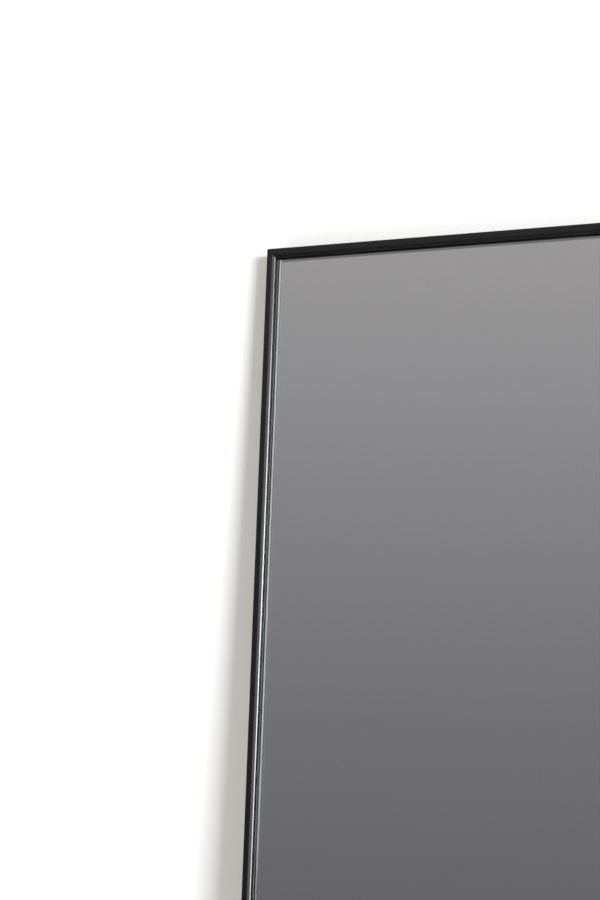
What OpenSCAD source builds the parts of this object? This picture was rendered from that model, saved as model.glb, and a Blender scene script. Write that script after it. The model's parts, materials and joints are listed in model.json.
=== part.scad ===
// Full-length mirror: a slim extruded frame whose lip holds the pane, with wall loops behind.
// The mirror stands upright on its feet and faces -Y. Its floor line is z = 0.

/* [Frame] */
// Outer width of the frame
frame_w = 700; // [400:5:900]
// Outer height of the frame, without the feet
frame_h = 1800; // [1300:5:2000]
// Front to back depth of the frame
frame_d = 25; // [24:0.5:34]
// Width of the flat outer rim
rim_w = 5.8; // [5.4:0.1:7]
// Width of the sloped band inside the rim
slope_w = 1.8; // [1.5:0.1:3]
// How far the sloped band falls
slope_drop = 0.9; // [0.6:0.05:1.6]
// Radius of the nose that ends the sloped band
nose_r = 2; // [1.5:0.1:2.4]
// Radius of the outer front edge
edge_r = 0.6; // [0.3:0.1:1.2]
// Thickness of the side walls of the extrusion
side_wall = 1.3; // [1:0.1:1.6]
// Thickness of the rear wall of the extrusion
rear_wall = 1.8; // [1.7:0.1:2.2]
// Depth from the front face to the hollow chamber
chamber_front = 4.6; // [4.2:0.1:6]
// How far the lip of the frame overlaps the pane
lip_w = 1.7; // [1.3:0.1:2]
// Angle by which the inner face of the lip is undercut
lip_draft = 9; // [0:1:12]
// Width of the flange that carries the panel
flange_w = 18.2; // [17.2:0.1:23]
// Thickness of the flange
flange_t = 1.6; // [1.2:0.1:2.4]

/* [Pane] */
// Depth from the front face of the frame to the front of the glass
glass_recess = 5.4; // [5.2:0.1:6.2]
// Thickness of the glass
glass_t = 4; // [3:0.5:5]
// Width of the ground bevel along each edge of the glass
arris = 0.5; // [0.3:0.1:1.2]
// Gap between the edge of the glass and the frame
glass_gap = 0.6; // [0.4:0.1:1.5]
// Thickness of the safety film on the back of the glass
film_t = 0.2; // [0.1:0.05:0.4]
// Thickness of the foam tape
tape_t = 1.2; // [0.8:0.1:2]
// Width of each strip of foam tape
tape_w = 25; // [15:1:40]
// Number of tape strips
tape_count = 5; // [3:1:7]
// Distance from the ends of the tape to the ends of the panel
tape_inset = 40; // [20:5:80]
// Thickness of the fibreboard panel
panel_t = 5; // [4.5:0.5:6]
// Gap between the panel and the frame
panel_gap = 1; // [0.5:0.1:2]
// Length of each edge spacer
spacer_l = 30; // [20:1:50]
// Distance from a corner of the glass to the middle of a spacer
spacer_inset = 150; // [100:5:180]

/* [Corner joints] */
// Length of each leg of a corner key
key_leg = 45; // [35:1:60]
// Clearance between a key and its chamber
key_gap = 0.1; // [0.05:0.05:0.2]
// Chamfer at the tip of each leg
key_chamfer = 1.2; // [0.5:0.1:1.8]
// Distance from the outer corner to each corner screw
key_screw_inset = 28; // [24:1:32]
// Thread diameter of the corner screws
key_screw_d = 2.5; // [2:0.1:2.6]
// Head diameter of the corner screws
key_head_d = 4.8; // [4.2:0.1:5]
// Length of the corner screws
key_screw_l = 10; // [8:1:14]

/* [Panel screws] */
// Thread diameter of the panel screws
panel_screw_d = 3.5; // [3:0.1:4]
// Head diameter of the panel screws
panel_head_d = 6.8; // [6:0.1:7.5]
// Head height of the panel screws
panel_head_h = 2.2; // [1.8:0.1:2.6]
// Length of the panel screws under the head
panel_screw_l = 5.5; // [4:0.1:5.8]
// Number of panel screws in each upright
upright_screws = 6; // [3:1:8]
// Number of panel screws in each rail
rail_screws = 3; // [2:1:4]
// Distance from an outer corner to the first panel screw
panel_screw_inset = 75; // [60:5:100]

/* [Wall loops] */
// Distance from the top of the frame to the pivots of the loops
loop_drop = 300; // [200:5:450]
// Wire diameter of the loops
wire_d = 3; // [2.5:0.1:3.2]
// Inner width of a loop
loop_w = 12.6; // [12.2:0.1:13]
// Distance from the pivot to the inside of the loop's far end
loop_reach = 29; // [27:0.5:34]
// Radial clearance of the loop's bar in its eye
eye_gap = 0.08; // [0.03:0.01:0.1]
// Thickness of the folded strap's steel
strap_t = 1; // [0.8:0.1:1.1]
// Width of the strap
strap_w = 11; // [10:0.1:11.2]
// Distance from the pivot to the end of the strap
strap_l = 20.5; // [19.5:0.1:22]
// Distance from the pivot to the first strap screw
strap_screw_1 = 7.2; // [7:0.1:8]
// Distance between the two strap screws
strap_screw_step = 8.2; // [7.8:0.1:9]
// Thread diameter of the strap screws
strap_screw_d = 3.5; // [3:0.1:4]
// Head diameter of the strap screws
strap_head_d = 7; // [6:0.1:7.4]
// Head height of the strap screws
strap_head_h = 1.9; // [1.5:0.1:2.2]
// Length of the strap screws under the head
strap_screw_l = 7.4; // [6:0.1:7.8]

/* [Feet and bumpers] */
// Height of the feet
foot_h = 3; // [2.5:0.5:6]
// Length of each foot
foot_l = 60; // [40:1:90]
// Distance from the front and the back of the frame to the sides of each foot
foot_setback = 0.3; // [0.2:0.1:2]
// Corner radius of each foot
foot_r = 3; // [1:0.5:6]
// Distance from the side of the frame to the middle of each foot
foot_inset = 95; // [90:5:150]
// Depth of the grip grooves under each foot
foot_groove = 0.8; // [0.4:0.1:1.2]
// Number of grip grooves under each foot
foot_grooves = 6; // [2:1:8]
// Diameter of the push-in stems
stem_d = 4.6; // [4:0.1:5]
// Distance between the two stems of a foot
stem_step = 34; // [20:1:36]
// Diameter of the wall bumpers
bumper_d = 6; // [5:0.1:6.2]
// Height of the wall bumpers
bumper_h = 2; // [1:0.1:4]
// Diameter of the bumper stems
bumper_stem_d = 2.2; // [2:0.1:2.4]
// Distance from the ends of the frame to the wall bumpers, which meet the wall first when the mirror leans
bumper_inset = 14; // [12:0.5:16]

/* [Hidden] */

// How finely the drawn arcs and small round parts are divided
arc_steps = 10;
round_fn = 48;
// A little more than nothing, for cuts that pass through a face
over = 0.5;
// Clearance of a screw in its thread, in a through hole and of a stem in its hole
thread_gap = 0.02;
hole_gap = 0.25;
stem_gap = 0.05;

black_metal = [0.07, 0.07, 0.075];
zinc = [0.72, 0.73, 0.74];
rubber = [0.11, 0.11, 0.11];

// The extrusion's section: u runs inwards from the outer edge, v runs back from the front face
slope_a = atan2(slope_drop, slope_w);
wall_u = rim_w + slope_w + nose_r * (1 - sin(slope_a));
nose_v = slope_drop + nose_r * cos(slope_a);
// The lip's inner face runs straight from the end of the nose's arc to the glass
lip_base_u = wall_u - nose_r * (1 - cos(lip_draft))
    - (glass_recess - nose_v - nose_r * sin(lip_draft)) * tan(lip_draft);
// The wall of the rebate, behind the lip, in which the pane and the panel lie
rebate_u = wall_u - lip_w - glass_gap;
chamber_u0 = side_wall;
chamber_u1 = rebate_u - side_wall;
chamber_v1 = frame_d - rear_wall;
flange_u = rebate_u + flange_w;

// The stack behind the front face
film_v = glass_recess + glass_t;
tape_v = film_v + film_t;
panel_v = tape_v + tape_t;
flange_v = panel_v + panel_t;
flange_back = flange_v + flange_t;

// Places in the upright frame: front_y is the front face
front_y = -(frame_d + bumper_h) / 2;
base_z = foot_h;
top_z = foot_h + frame_h;
mid_z = foot_h + frame_h / 2;
pane_w = frame_w - 2 * (rebate_u + glass_gap);
pane_h = frame_h - 2 * (rebate_u + glass_gap);
panel_w = frame_w - 2 * (rebate_u + panel_gap);
panel_h = frame_h - 2 * (rebate_u + panel_gap);
spine_u = (chamber_u0 + chamber_u1) / 2;

// Spacers fill the gap round the pane but for a hair on each side
spacer_t = glass_gap - 0.04;

// Screws along the flange
screw_u = rebate_u + flange_w * 0.55;
upright_step = (frame_h - 2 * panel_screw_inset) / (upright_screws - 1);
rail_step = (frame_w - 2 * panel_screw_inset) / (rail_screws - 1);

// Wall loops
wire_r = wire_d / 2;
eye_r = wire_r + eye_gap;
eye_outer = eye_r + strap_t;
loop_outer = loop_w + 2 * wire_d;
loop_side_gap = 0.8;
// How far the loop's bar runs straight out of the eye before it bends
bend_start = 0.3;
loop_u = rebate_u + loop_side_gap + loop_outer / 2;
pivot_z = top_z - loop_drop;
pivot_v = flange_back + eye_outer;
bar_half = (loop_w + wire_d) / 2;

// Feet and bumpers
foot_v = frame_d / 2;
foot_w = frame_d - 2 * foot_setback;
barb_l = 2.2;
barb_r = stem_d / 2 + 0.35;
bumper_taper = 0.6;
bumper_barb_l = 1.8;
bumper_barb_r = bumper_stem_d / 2 + 0.25;

// Points along an arc in degrees, both ends included
function arc_points(cx, cy, r, a0, a1) =
    [for (i = [0:arc_steps]) let (a = a0 + (a1 - a0) * i / arc_steps) [cx + r * cos(a), cy + r * sin(a)]];

// The outside of the section, from the outer edge round the front to the flange and the back
module section_outline() {
    polygon(concat(
        [[0, frame_d]],
        arc_points(edge_r, edge_r, edge_r, 180, 270),
        [[rim_w, 0]],
        arc_points(wall_u - nose_r, nose_v, nose_r, slope_a - 90, lip_draft),
        [[lip_base_u, glass_recess], [rebate_u, glass_recess]],
        [[rebate_u, flange_v], [flange_u, flange_v], [flange_u, flange_back], [rebate_u, flange_back]],
        [[rebate_u, frame_d]]
    ));
}

module chamber_outline() {
    translate([chamber_u0, chamber_front]) square([chamber_u1 - chamber_u0, chamber_v1 - chamber_front]);
}

// One mitred length of the extrusion: u on X, v on Y and its length on Z
module mitred_length(l) {
    intersection() {
        linear_extrude(l)
            difference() {
                section_outline();
                chamber_outline();
            }
        translate([0, frame_d + over, 0])
            rotate([90, 0, 0])
                linear_extrude(frame_d + 2 * over)
                    polygon([
                        [-over, -over],
                        [flange_u + over, flange_u + over],
                        [flange_u + over, l - flange_u - over],
                        [-over, l + over]
                    ]);
    }
}

// Stand a length's own frame on each side of the mirror
module on_left() {
    translate([-frame_w / 2, front_y, base_z]) children();
}

module on_right() {
    mirror([1, 0, 0]) on_left() children();
}

module on_top() {
    translate([-frame_w / 2, front_y, top_z]) rotate([0, 90, 0]) children();
}

module on_bottom() {
    translate([frame_w / 2, front_y, base_z]) rotate([0, -90, 0]) children();
}

// A round hole through a wall, from v0 to v1, at a place u and l along a length
module hole_v(u, l, r, v0, v1) {
    translate([u, v1, l]) rotate([90, 0, 0]) cylinder(h = v1 - v0, r = r, $fn = round_fn);
}

// The countersunk hole of a corner screw
module corner_hole(l) {
    hole_v(spine_u, l, key_screw_d / 2 + hole_gap / 2, chamber_v1 - over, frame_d + over);
    translate([spine_u, frame_d, l])
        rotate([90, 0, 0])
            cylinder(h = head_h(key_head_d, key_screw_d), r1 = key_head_d / 2, r2 = key_screw_d / 2, $fn = round_fn);
}

function head_h(head_d, thread_d) = (head_d - thread_d) / 2;

// Cuts that both ends of every length have, for the corner screws
module corner_cuts(l) {
    for (end = [key_screw_inset, l - key_screw_inset]) corner_hole(end);
}

module flange_cuts(count, step) {
    for (i = [0:count - 1])
        hole_v(screw_u, panel_screw_inset + i * step, panel_screw_d / 2 + hole_gap, flange_v - over, flange_back + over);
}

// Where the two screws of a strap stand, along an upright
function strap_screw_l_at(i) = frame_h - loop_drop - strap_screw_1 - i * strap_screw_step;

module upright() {
    difference() {
        mitred_length(frame_h);
        corner_cuts(frame_h);
        flange_cuts(upright_screws, upright_step);
        for (i = [0, 1])
            hole_v(loop_u, strap_screw_l_at(i), strap_screw_d / 2 + hole_gap, flange_v - over, flange_back + over);
        for (l = [bumper_inset, frame_h - bumper_inset])
            hole_v(spine_u, l, bumper_stem_d / 2 + stem_gap, chamber_v1 - over, frame_d + over);
    }
}

module rail() {
    difference() {
        mitred_length(frame_w);
        corner_cuts(frame_w);
        flange_cuts(rail_screws, rail_step);
    }
}

module frame_left_upright() {
    color(black_metal) on_left() upright();
}

module frame_right_upright() {
    color(black_metal) on_right() upright();
}

module frame_top_rail() {
    color(black_metal) on_top() rail();
}

module frame_bottom_rail() {
    color(black_metal)
        difference() {
            on_bottom() rail();
            for (side = [-1, 1]) at_foot(side) foot_stems(stem_d / 2 + stem_gap, side_wall + over);
        }
}

// One corner key lies in two chambers, with its outer corner at the corner of the frame
module corner_key() {
    u0 = chamber_u0 + key_gap;
    u1 = chamber_u1 - key_gap;
    v0 = chamber_front + key_gap;
    v1 = chamber_v1 - key_gap;
    difference() {
        translate([0, v1, 0])
            rotate([90, 0, 0])
                linear_extrude(v1 - v0)
                    polygon([
                        [u0, u0], [key_leg - key_chamfer, u0], [key_leg, u0 + key_chamfer],
                        [key_leg, u1 - key_chamfer], [key_leg - key_chamfer, u1], [u1, u1],
                        [u1, key_leg - key_chamfer], [u1 - key_chamfer, key_leg],
                        [u0 + key_chamfer, key_leg], [u0, key_leg - key_chamfer]
                    ]);
        key_bore(spine_u, key_screw_inset);
        key_bore(key_screw_inset, spine_u);
        hole_v(spine_u, bumper_inset, bumper_barb_r + key_gap, chamber_v1 - bumper_barb_l - over, frame_d);
    }
}

module key_bore(u, l) {
    hole_v(u, l, key_screw_d / 2 + thread_gap, frame_d - key_screw_l - 1, frame_d);
}

// Put a corner's own frame at each corner of the mirror
module at_corners() {
    for (side = [0, 1]) mirror([side, 0, 0]) {
        translate([-frame_w / 2, front_y, base_z]) children();
        translate([-frame_w / 2, front_y, top_z]) mirror([0, 0, 1]) children();
    }
}

module corner_keys() {
    color(zinc) at_corners() corner_key();
}

// A cross recess in a screw head whose face is at z = 0
module cross_recess(d, depth) {
    for (a = [0, 90])
        rotate([0, 0, a]) translate([-d / 2, -d / 10, -depth]) cube([d, d / 5, depth + over]);
}

// A countersunk screw with its face at z = 0, pointing down
module countersunk_screw(head_d, d, l) {
    difference() {
        rotate_extrude($fn = round_fn)
            polygon([[0, 0], [head_d / 2 - 0.05, 0], [d / 2, -head_h(head_d, d) + 0.05], [d / 2, -l + 0.4],
                     [d / 2 - 0.4, -l], [0, -l]]);
        cross_recess(head_d * 0.55, 0.9);
    }
}

// A pan-head screw with its seat at z = 0, pointing down
module pan_screw(head_d, head_t, d, l) {
    crown = head_t * 0.45;
    difference() {
        rotate_extrude($fn = round_fn)
            polygon(concat(
                [[0, -l], [d / 2 - 0.6, -l + 0.4], [d / 2, -l + 1.2], [d / 2, 0], [head_d / 2, 0]],
                [for (a = [0:15:75]) [head_d / 2 - crown * (1 - cos(a)), head_t - crown + crown * sin(a)]],
                [[0, head_t]]
            ));
        translate([0, 0, head_t]) cross_recess(head_d * 0.55, head_t * 0.5);
    }
}

module corner_screws() {
    color(black_metal)
        at_corners()
            for (p = [[spine_u, key_screw_inset], [key_screw_inset, spine_u]])
                translate([p[0], frame_d, p[1]])
                    rotate([-90, 0, 0]) countersunk_screw(key_head_d, key_screw_d, key_screw_l);
}

// A flat sheet centred in the frame, from depth v
module centred_sheet(w, t, h, v) {
    translate([-w / 2, front_y + v, mid_z - h / 2]) cube([w, t, h]);
}

// The cross-section of the pane: a rectangle with its four corners ground off
module arrised_section(w) {
    polygon([
        [-w / 2 + arris, 0], [w / 2 - arris, 0], [w / 2, arris], [w / 2, glass_t - arris],
        [w / 2 - arris, glass_t], [-w / 2 + arris, glass_t], [-w / 2, glass_t - arris], [-w / 2, arris]
    ]);
}

module mirror_glass() {
    color([0.62, 0.66, 0.67])
        translate([0, front_y + glass_recess, mid_z])
            intersection() {
                translate([0, 0, -pane_h / 2]) linear_extrude(pane_h) arrised_section(pane_w);
                rotate([0, 90, 0]) translate([0, 0, -pane_w / 2]) linear_extrude(pane_w) arrised_section(pane_h);
            }
}

module safety_film() {
    color([0.80, 0.82, 0.84])
        centred_sheet(pane_w - 2 * arris, film_t, pane_h - 2 * arris, film_v);
}

module foam_tape() {
    tape_l = panel_h - 2 * tape_inset;
    first = -panel_w / 2 + tape_inset + tape_w / 2;
    step = -2 * first / (tape_count - 1);
    color([0.93, 0.93, 0.90])
        for (i = [0:tape_count - 1])
            translate([first + i * step, 0, 0]) centred_sheet(tape_w, tape_t, tape_l, tape_v);
}

// Where screws enter the panel, as the frame's own lengths place them
module along_flanges() {
    for (i = [0:upright_screws - 1]) {
        l = panel_screw_inset + i * upright_step;
        on_left() translate([screw_u, flange_back, l]) children();
        on_right() translate([screw_u, flange_back, l]) children();
    }
    for (i = [0:rail_screws - 1]) {
        l = panel_screw_inset + i * rail_step;
        on_top() translate([screw_u, flange_back, l]) children();
        on_bottom() translate([screw_u, flange_back, l]) children();
    }
}

module at_strap_screws() {
    for (i = [0, 1]) {
        on_left() translate([loop_u, flange_back, strap_screw_l_at(i)]) children();
        on_right() translate([loop_u, flange_back, strap_screw_l_at(i)]) children();
    }
}

// A blind pilot hole in the panel, from the flange's back towards the front
module pilot_hole(r, depth) {
    rotate([90, 0, 0]) cylinder(h = depth, r = r, $fn = round_fn);
}

module backing_panel() {
    color([0.55, 0.42, 0.29])
        difference() {
            centred_sheet(panel_w, panel_t, panel_h, panel_v);
            along_flanges() pilot_hole(panel_screw_d / 2 + thread_gap, panel_screw_l + 0.3);
            at_strap_screws() pilot_hole(strap_screw_d / 2 + thread_gap, strap_screw_l - 2 * strap_t + 0.3);
        }
}

module panel_screws() {
    color(zinc)
        along_flanges() rotate([-90, 0, 0]) pan_screw(panel_head_d, panel_head_h, panel_screw_d, panel_screw_l);
}

// Slim spacers keep the pane in the middle of its frame
module edge_spacers() {
    color([0.16, 0.16, 0.17]) {
        for (side = [-1, 1], end = [-1, 1]) {
            translate([side * (pane_w + glass_gap) / 2, 0, mid_z + end * (pane_h / 2 - spacer_inset)])
                edge_spacer(spacer_t, spacer_l);
            translate([side * (pane_w / 2 - spacer_inset), 0, mid_z + end * (pane_h + glass_gap) / 2])
                edge_spacer(spacer_l, spacer_t);
        }
    }
}

module edge_spacer(w, h) {
    spacer_d = glass_t - 2 * arris;
    translate([-w / 2, front_y + glass_recess + arris, -h / 2]) cube([w, spacer_d, h]);
}

// A strap's own frame has its pivot on X, the flange at y = -eye_outer and hangs down -Z
module at_left_pivot() {
    translate([-frame_w / 2 + loop_u, front_y + pivot_v, pivot_z]) children();
}

module at_right_pivot() {
    mirror([1, 0, 0]) at_left_pivot() children();
}

// A strap of sheet steel folded round the bar of its loop
module hanger_strap() {
    tongue_r = 3;
    difference() {
        union() {
            translate([-strap_w / 2, 0, 0]) rotate([0, 90, 0]) cylinder(h = strap_w, r = eye_outer, $fn = round_fn);
            translate([0, -eye_outer, 0])
                rotate([-90, 0, 0]) linear_extrude(2 * strap_t) strap_outline(strap_l, tongue_r);
        }
        translate([-strap_w / 2 - over, 0, 0])
            rotate([0, 90, 0]) cylinder(h = strap_w + 2 * over, r = eye_r, $fn = round_fn);
        for (i = [0, 1])
            translate([0, -eye_outer + 2 * strap_t + over, -strap_screw_1 - i * strap_screw_step])
                rotate([90, 0, 0])
                    cylinder(h = 2 * strap_t + 2 * over, r = strap_screw_d / 2 + hole_gap, $fn = round_fn);
    }
}

// A tongue that runs from the pivot down to l, with rounded lower corners
module strap_outline(l, r) {
    translate([-strap_w / 2, 0]) square([strap_w, l - r]);
    translate([-strap_w / 2 + r, 0]) square([strap_w - 2 * r, l]);
    for (x = [-strap_w / 2 + r, strap_w / 2 - r]) translate([x, l - r]) circle(r, $fn = round_fn);
}

// A closed wire loop: a straight bar in the eye, two legs and a round end
module hanger_loop() {
    bow_z = -(loop_reach - loop_w / 2);
    corner_r = bar_half - strap_w / 2 - bend_start;
    translate([-bar_half + corner_r, 0, 0])
        rotate([0, 90, 0]) cylinder(h = 2 * (bar_half - corner_r), r = wire_r, $fn = round_fn);
    for (side = [-1, 1]) {
        translate([side * (bar_half - corner_r), 0, -corner_r])
            rotate([90, 0, 0])
                rotate([0, 0, side > 0 ? 0 : 90])
                    rotate_extrude(angle = 90, $fn = round_fn) translate([corner_r, 0]) circle(wire_r, $fn = 32);
        translate([side * bar_half, 0, bow_z]) cylinder(h = -bow_z - corner_r, r = wire_r, $fn = round_fn);
    }
    translate([0, 0, bow_z])
        rotate([90, 0, 0])
            rotate([0, 0, 180])
                rotate_extrude(angle = 180, $fn = round_fn) translate([bar_half, 0]) circle(wire_r, $fn = 32);
}

module left_hanger_strap() {
    color(zinc) at_left_pivot() hanger_strap();
}

module right_hanger_strap() {
    color(zinc) at_right_pivot() hanger_strap();
}

module left_hanger_loop() {
    color(zinc) at_left_pivot() hanger_loop();
}

module right_hanger_loop() {
    color(zinc) at_right_pivot() hanger_loop();
}

module hanger_screws() {
    color(zinc)
        at_strap_screws()
            translate([0, 2 * strap_t, 0])
                rotate([-90, 0, 0]) pan_screw(strap_head_d, strap_head_h, strap_screw_d, strap_screw_l);
}

// A foot's own frame has its middle on the floor under the bottom rail
module at_foot(side) {
    translate([side * (frame_w / 2 - foot_inset), front_y + foot_v, 0]) children();
}

// The stems of a foot rise from the rail's outer wall
module foot_stems(r, h) {
    for (x = [-stem_step / 2, stem_step / 2])
        translate([x, 0, foot_h - over]) cylinder(h = h + over, r = r, $fn = round_fn);
}

module foot() {
    groove_w = 2;
    groove_step = foot_l / (foot_grooves + 1);
    difference() {
        linear_extrude(foot_h) foot_outline();
        for (i = [1:foot_grooves])
            translate([-foot_l / 2 + i * groove_step - groove_w / 2, -foot_w, -over])
                cube([groove_w, 2 * foot_w, foot_groove + over]);
    }
    foot_stems(stem_d / 2, side_wall);
    for (x = [-stem_step / 2, stem_step / 2])
        translate([x, 0, foot_h + side_wall])
            cylinder(h = barb_l, r1 = barb_r, r2 = stem_d / 2 - 0.5, $fn = round_fn);
}

module foot_outline() {
    inner_l = foot_l - 2 * foot_r;
    inner_w = foot_w - 2 * foot_r;
    translate([-foot_l / 2, -inner_w / 2]) square([foot_l, inner_w]);
    translate([-inner_l / 2, -foot_w / 2]) square([inner_l, foot_w]);
    for (x = [-inner_l / 2, inner_l / 2], y = [-inner_w / 2, inner_w / 2])
        translate([x, y]) circle(foot_r, $fn = round_fn);
}

module left_foot() {
    color(rubber) at_foot(-1) foot();
}

module right_foot() {
    color(rubber) at_foot(1) foot();
}

// A bumper with its seat at z = 0, its pad up and its stem down
module bumper() {
    rotate_extrude($fn = round_fn)
        polygon([
            [0, -rear_wall - bumper_barb_l],
            [bumper_stem_d / 2 - 0.4, -rear_wall - bumper_barb_l],
            [bumper_barb_r, -rear_wall],
            [bumper_stem_d / 2, -rear_wall],
            [bumper_stem_d / 2, 0],
            [bumper_d / 2, 0],
            [bumper_d / 2, bumper_h - bumper_taper],
            [bumper_d / 2 - bumper_taper, bumper_h],
            [0, bumper_h]
        ]);
}

module wall_bumpers() {
    color(rubber)
        for (l = [bumper_inset, frame_h - bumper_inset]) {
            on_left() translate([spine_u, frame_d, l]) rotate([-90, 0, 0]) bumper();
            on_right() translate([spine_u, frame_d, l]) rotate([-90, 0, 0]) bumper();
        }
}

frame_left_upright();
frame_right_upright();
frame_top_rail();
frame_bottom_rail();
corner_keys();
corner_screws();
mirror_glass();
safety_film();
foam_tape();
backing_panel();
panel_screws();
edge_spacers();
left_hanger_strap();
right_hanger_strap();
left_hanger_loop();
right_hanger_loop();
hanger_screws();
left_foot();
right_foot();
wall_bumpers();
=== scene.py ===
import json
import math

import bmesh
import bpy
from mathutils import Matrix, Vector


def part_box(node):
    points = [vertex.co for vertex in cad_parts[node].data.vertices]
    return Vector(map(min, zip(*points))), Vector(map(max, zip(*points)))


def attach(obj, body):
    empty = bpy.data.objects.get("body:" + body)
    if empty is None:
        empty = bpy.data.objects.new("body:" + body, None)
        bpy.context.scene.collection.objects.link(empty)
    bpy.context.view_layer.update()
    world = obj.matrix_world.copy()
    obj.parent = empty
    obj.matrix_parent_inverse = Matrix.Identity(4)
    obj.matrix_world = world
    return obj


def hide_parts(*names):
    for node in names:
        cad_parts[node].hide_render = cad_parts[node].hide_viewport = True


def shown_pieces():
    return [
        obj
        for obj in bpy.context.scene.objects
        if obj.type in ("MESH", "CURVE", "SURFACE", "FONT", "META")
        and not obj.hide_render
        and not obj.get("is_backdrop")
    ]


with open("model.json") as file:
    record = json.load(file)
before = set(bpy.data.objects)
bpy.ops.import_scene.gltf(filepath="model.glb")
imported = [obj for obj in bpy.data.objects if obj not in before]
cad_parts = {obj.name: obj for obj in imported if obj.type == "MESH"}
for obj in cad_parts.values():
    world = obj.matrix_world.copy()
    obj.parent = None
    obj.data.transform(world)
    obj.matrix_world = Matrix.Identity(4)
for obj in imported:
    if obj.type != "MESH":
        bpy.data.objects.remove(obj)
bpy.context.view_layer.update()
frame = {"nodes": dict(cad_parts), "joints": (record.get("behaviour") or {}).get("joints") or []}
mm = 0.001

scene = bpy.context.scene
scene.view_settings.view_transform = "Standard"

# Where the frame's outer faces and the loops' hinges stand, read from model.glb and model.json
leftLow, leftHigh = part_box("frame_left_upright")
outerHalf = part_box("frame_top_rail")[1].x
frontY, rearY = leftLow.y, leftHigh.y
bottomZ, topZ = leftLow.z, leftHigh.z
middleZ = (bottomZ + topZ) / 2
frameHeight = topZ - bottomZ
hinges = {joint["name"]: Vector(joint["pos_m"]) for joint in frame["joints"]}


# An operator's method, which adds the Math node that works it out
def mathsMethod(operation, flipped=False):
    def method(self, other):
        sides = (other, self) if flipped else (self, other)
        return self.tree.maths(operation, *sides)
    return method


# Wraps a socket, so that an expression on values adds its own Math nodes
class Value:
    __add__, __radd__ = mathsMethod("ADD"), mathsMethod("ADD", flipped=True)
    __sub__, __rsub__ = mathsMethod("SUBTRACT"), mathsMethod("SUBTRACT", flipped=True)
    __mul__, __rmul__ = mathsMethod("MULTIPLY"), mathsMethod("MULTIPLY", flipped=True)
    __truediv__, __rtruediv__ = mathsMethod("DIVIDE"), mathsMethod("DIVIDE", flipped=True)
    __pow__, __rpow__ = mathsMethod("POWER"), mathsMethod("POWER", flipped=True)

    def __init__(self, tree, socket):
        self.tree = tree
        self.socket = socket

    def pick(self, name):
        return Value(self.tree, self.socket.node.outputs[name])


# A node tree, of a material, the world or a Geometry Nodes group
class Tree:
    def __init__(self, nodeTree):
        self.nodeTree = nodeTree

    def add(self, kind, inputs=None, **settings):
        node = self.nodeTree.nodes.new(kind)
        for name, setting in settings.items():
            setattr(node, name, setting)
        for name, given in (inputs or {}).items():
            for one in given if isinstance(given, list) else [given]:
                if isinstance(one, Value):
                    self.nodeTree.links.new(one.socket, node.inputs[name])
                else:
                    node.inputs[name].default_value = one
        return Value(self, node.outputs[0]) if node.outputs else None

    def ramp(self, value, stops):
        made = self.add("ShaderNodeValToRGB", {"Fac": value})
        elements = made.socket.node.color_ramp.elements
        while len(elements) < len(stops):
            elements.new(1.0)
        for element, (place, colour) in zip(elements, stops):
            element.position = place
            element.color = (*colour, 1.0)
        return made

    def maths(self, operation, *values):
        return self.add("ShaderNodeMath", dict(enumerate(values)), operation=operation)

    def clamp(self, value):
        return self.add("ShaderNodeClamp", {"Value": value})

    def between(self, value, low, high):
        # 0 below low, 1 above high and smooth in between
        ends = {"Value": value, "From Min": low, "From Max": high}
        return self.add("ShaderNodeMapRange", ends, interpolation_type="SMOOTHSTEP")

    def mix(self, factor, first, second):
        # first and second are colours, as numbers or as links
        sides = {0: factor, 6: self.colour(first), 7: self.colour(second)}
        return self.add("ShaderNodeMix", sides, data_type="RGBA").pick(2)

    def colour(self, given):
        return given if isinstance(given, Value) else (*given, 1.0)

    def blend(self, factor, first, second):
        # first and second are shaders
        return self.add("ShaderNodeMixShader", {0: factor, 1: first, 2: second})

    def coords(self, stretch=(1, 1, 1), turn=(0, 0, 0)):
        place = self.add("ShaderNodeTexCoord").pick("Object")
        return self.add("ShaderNodeMapping", {"Vector": place, "Scale": stretch, "Rotation": turn})

    def parts(self, vector):
        # The X, Y and Z of a vector
        split = self.add("ShaderNodeSeparateXYZ", {"Vector": vector})
        return split.pick("X"), split.pick("Y"), split.pick("Z")

    def noise(self, size, detail=3.0, roughness=0.5, coords=None):
        # size is the width of the largest spots, in metres
        place = coords or self.coords()
        return self.add("ShaderNodeTexNoise", {
            "Vector": place, "Scale": 1 / size, "Detail": detail, "Roughness": roughness})

    def bump(self, height, depth):
        return self.add("ShaderNodeBump", {"Height": height, "Distance": depth})


def newMaterial(name, build):
    material = bpy.data.materials.new(name)
    material.use_nodes = True
    tree = Tree(material.node_tree)
    material.node_tree.nodes.clear()
    tree.add("ShaderNodeOutputMaterial", {"Surface": build(tree)})
    return material


def surface(tree, **given):
    names = {"base": "Base Color", "metallic": "Metallic", "roughness": "Roughness", "normal": "Normal",
             "specular": "Specular IOR Level", "ior": "IOR", "transmission": "Transmission Weight"}
    return tree.add("ShaderNodeBsdfPrincipled", {names[key]: value for key, value in given.items()})


def towards(azimuth, elevation):
    # Azimuth 0 is straight before the mirror and 90 at its right, as seen from there
    azimuth, elevation = math.radians(azimuth), math.radians(elevation)
    return Vector((math.sin(azimuth) * math.cos(elevation), -math.cos(azimuth) * math.cos(elevation),
                   math.sin(elevation)))


# Camera, where the photograph was taken from, in the mirror's own upright frame
cameraSetup = {
    "lens": 100.0,
    "clip": (0.05, 100.0),
    "azimuth": 29.78,
    "elevation": -7.16,  # the camera looks up at the corner
    "roll": 2.17,
    "distance": 2291.0,  # from the aimed point, in mm
    "aim": (-306.45, -13.5, 1612.3),
}


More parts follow.
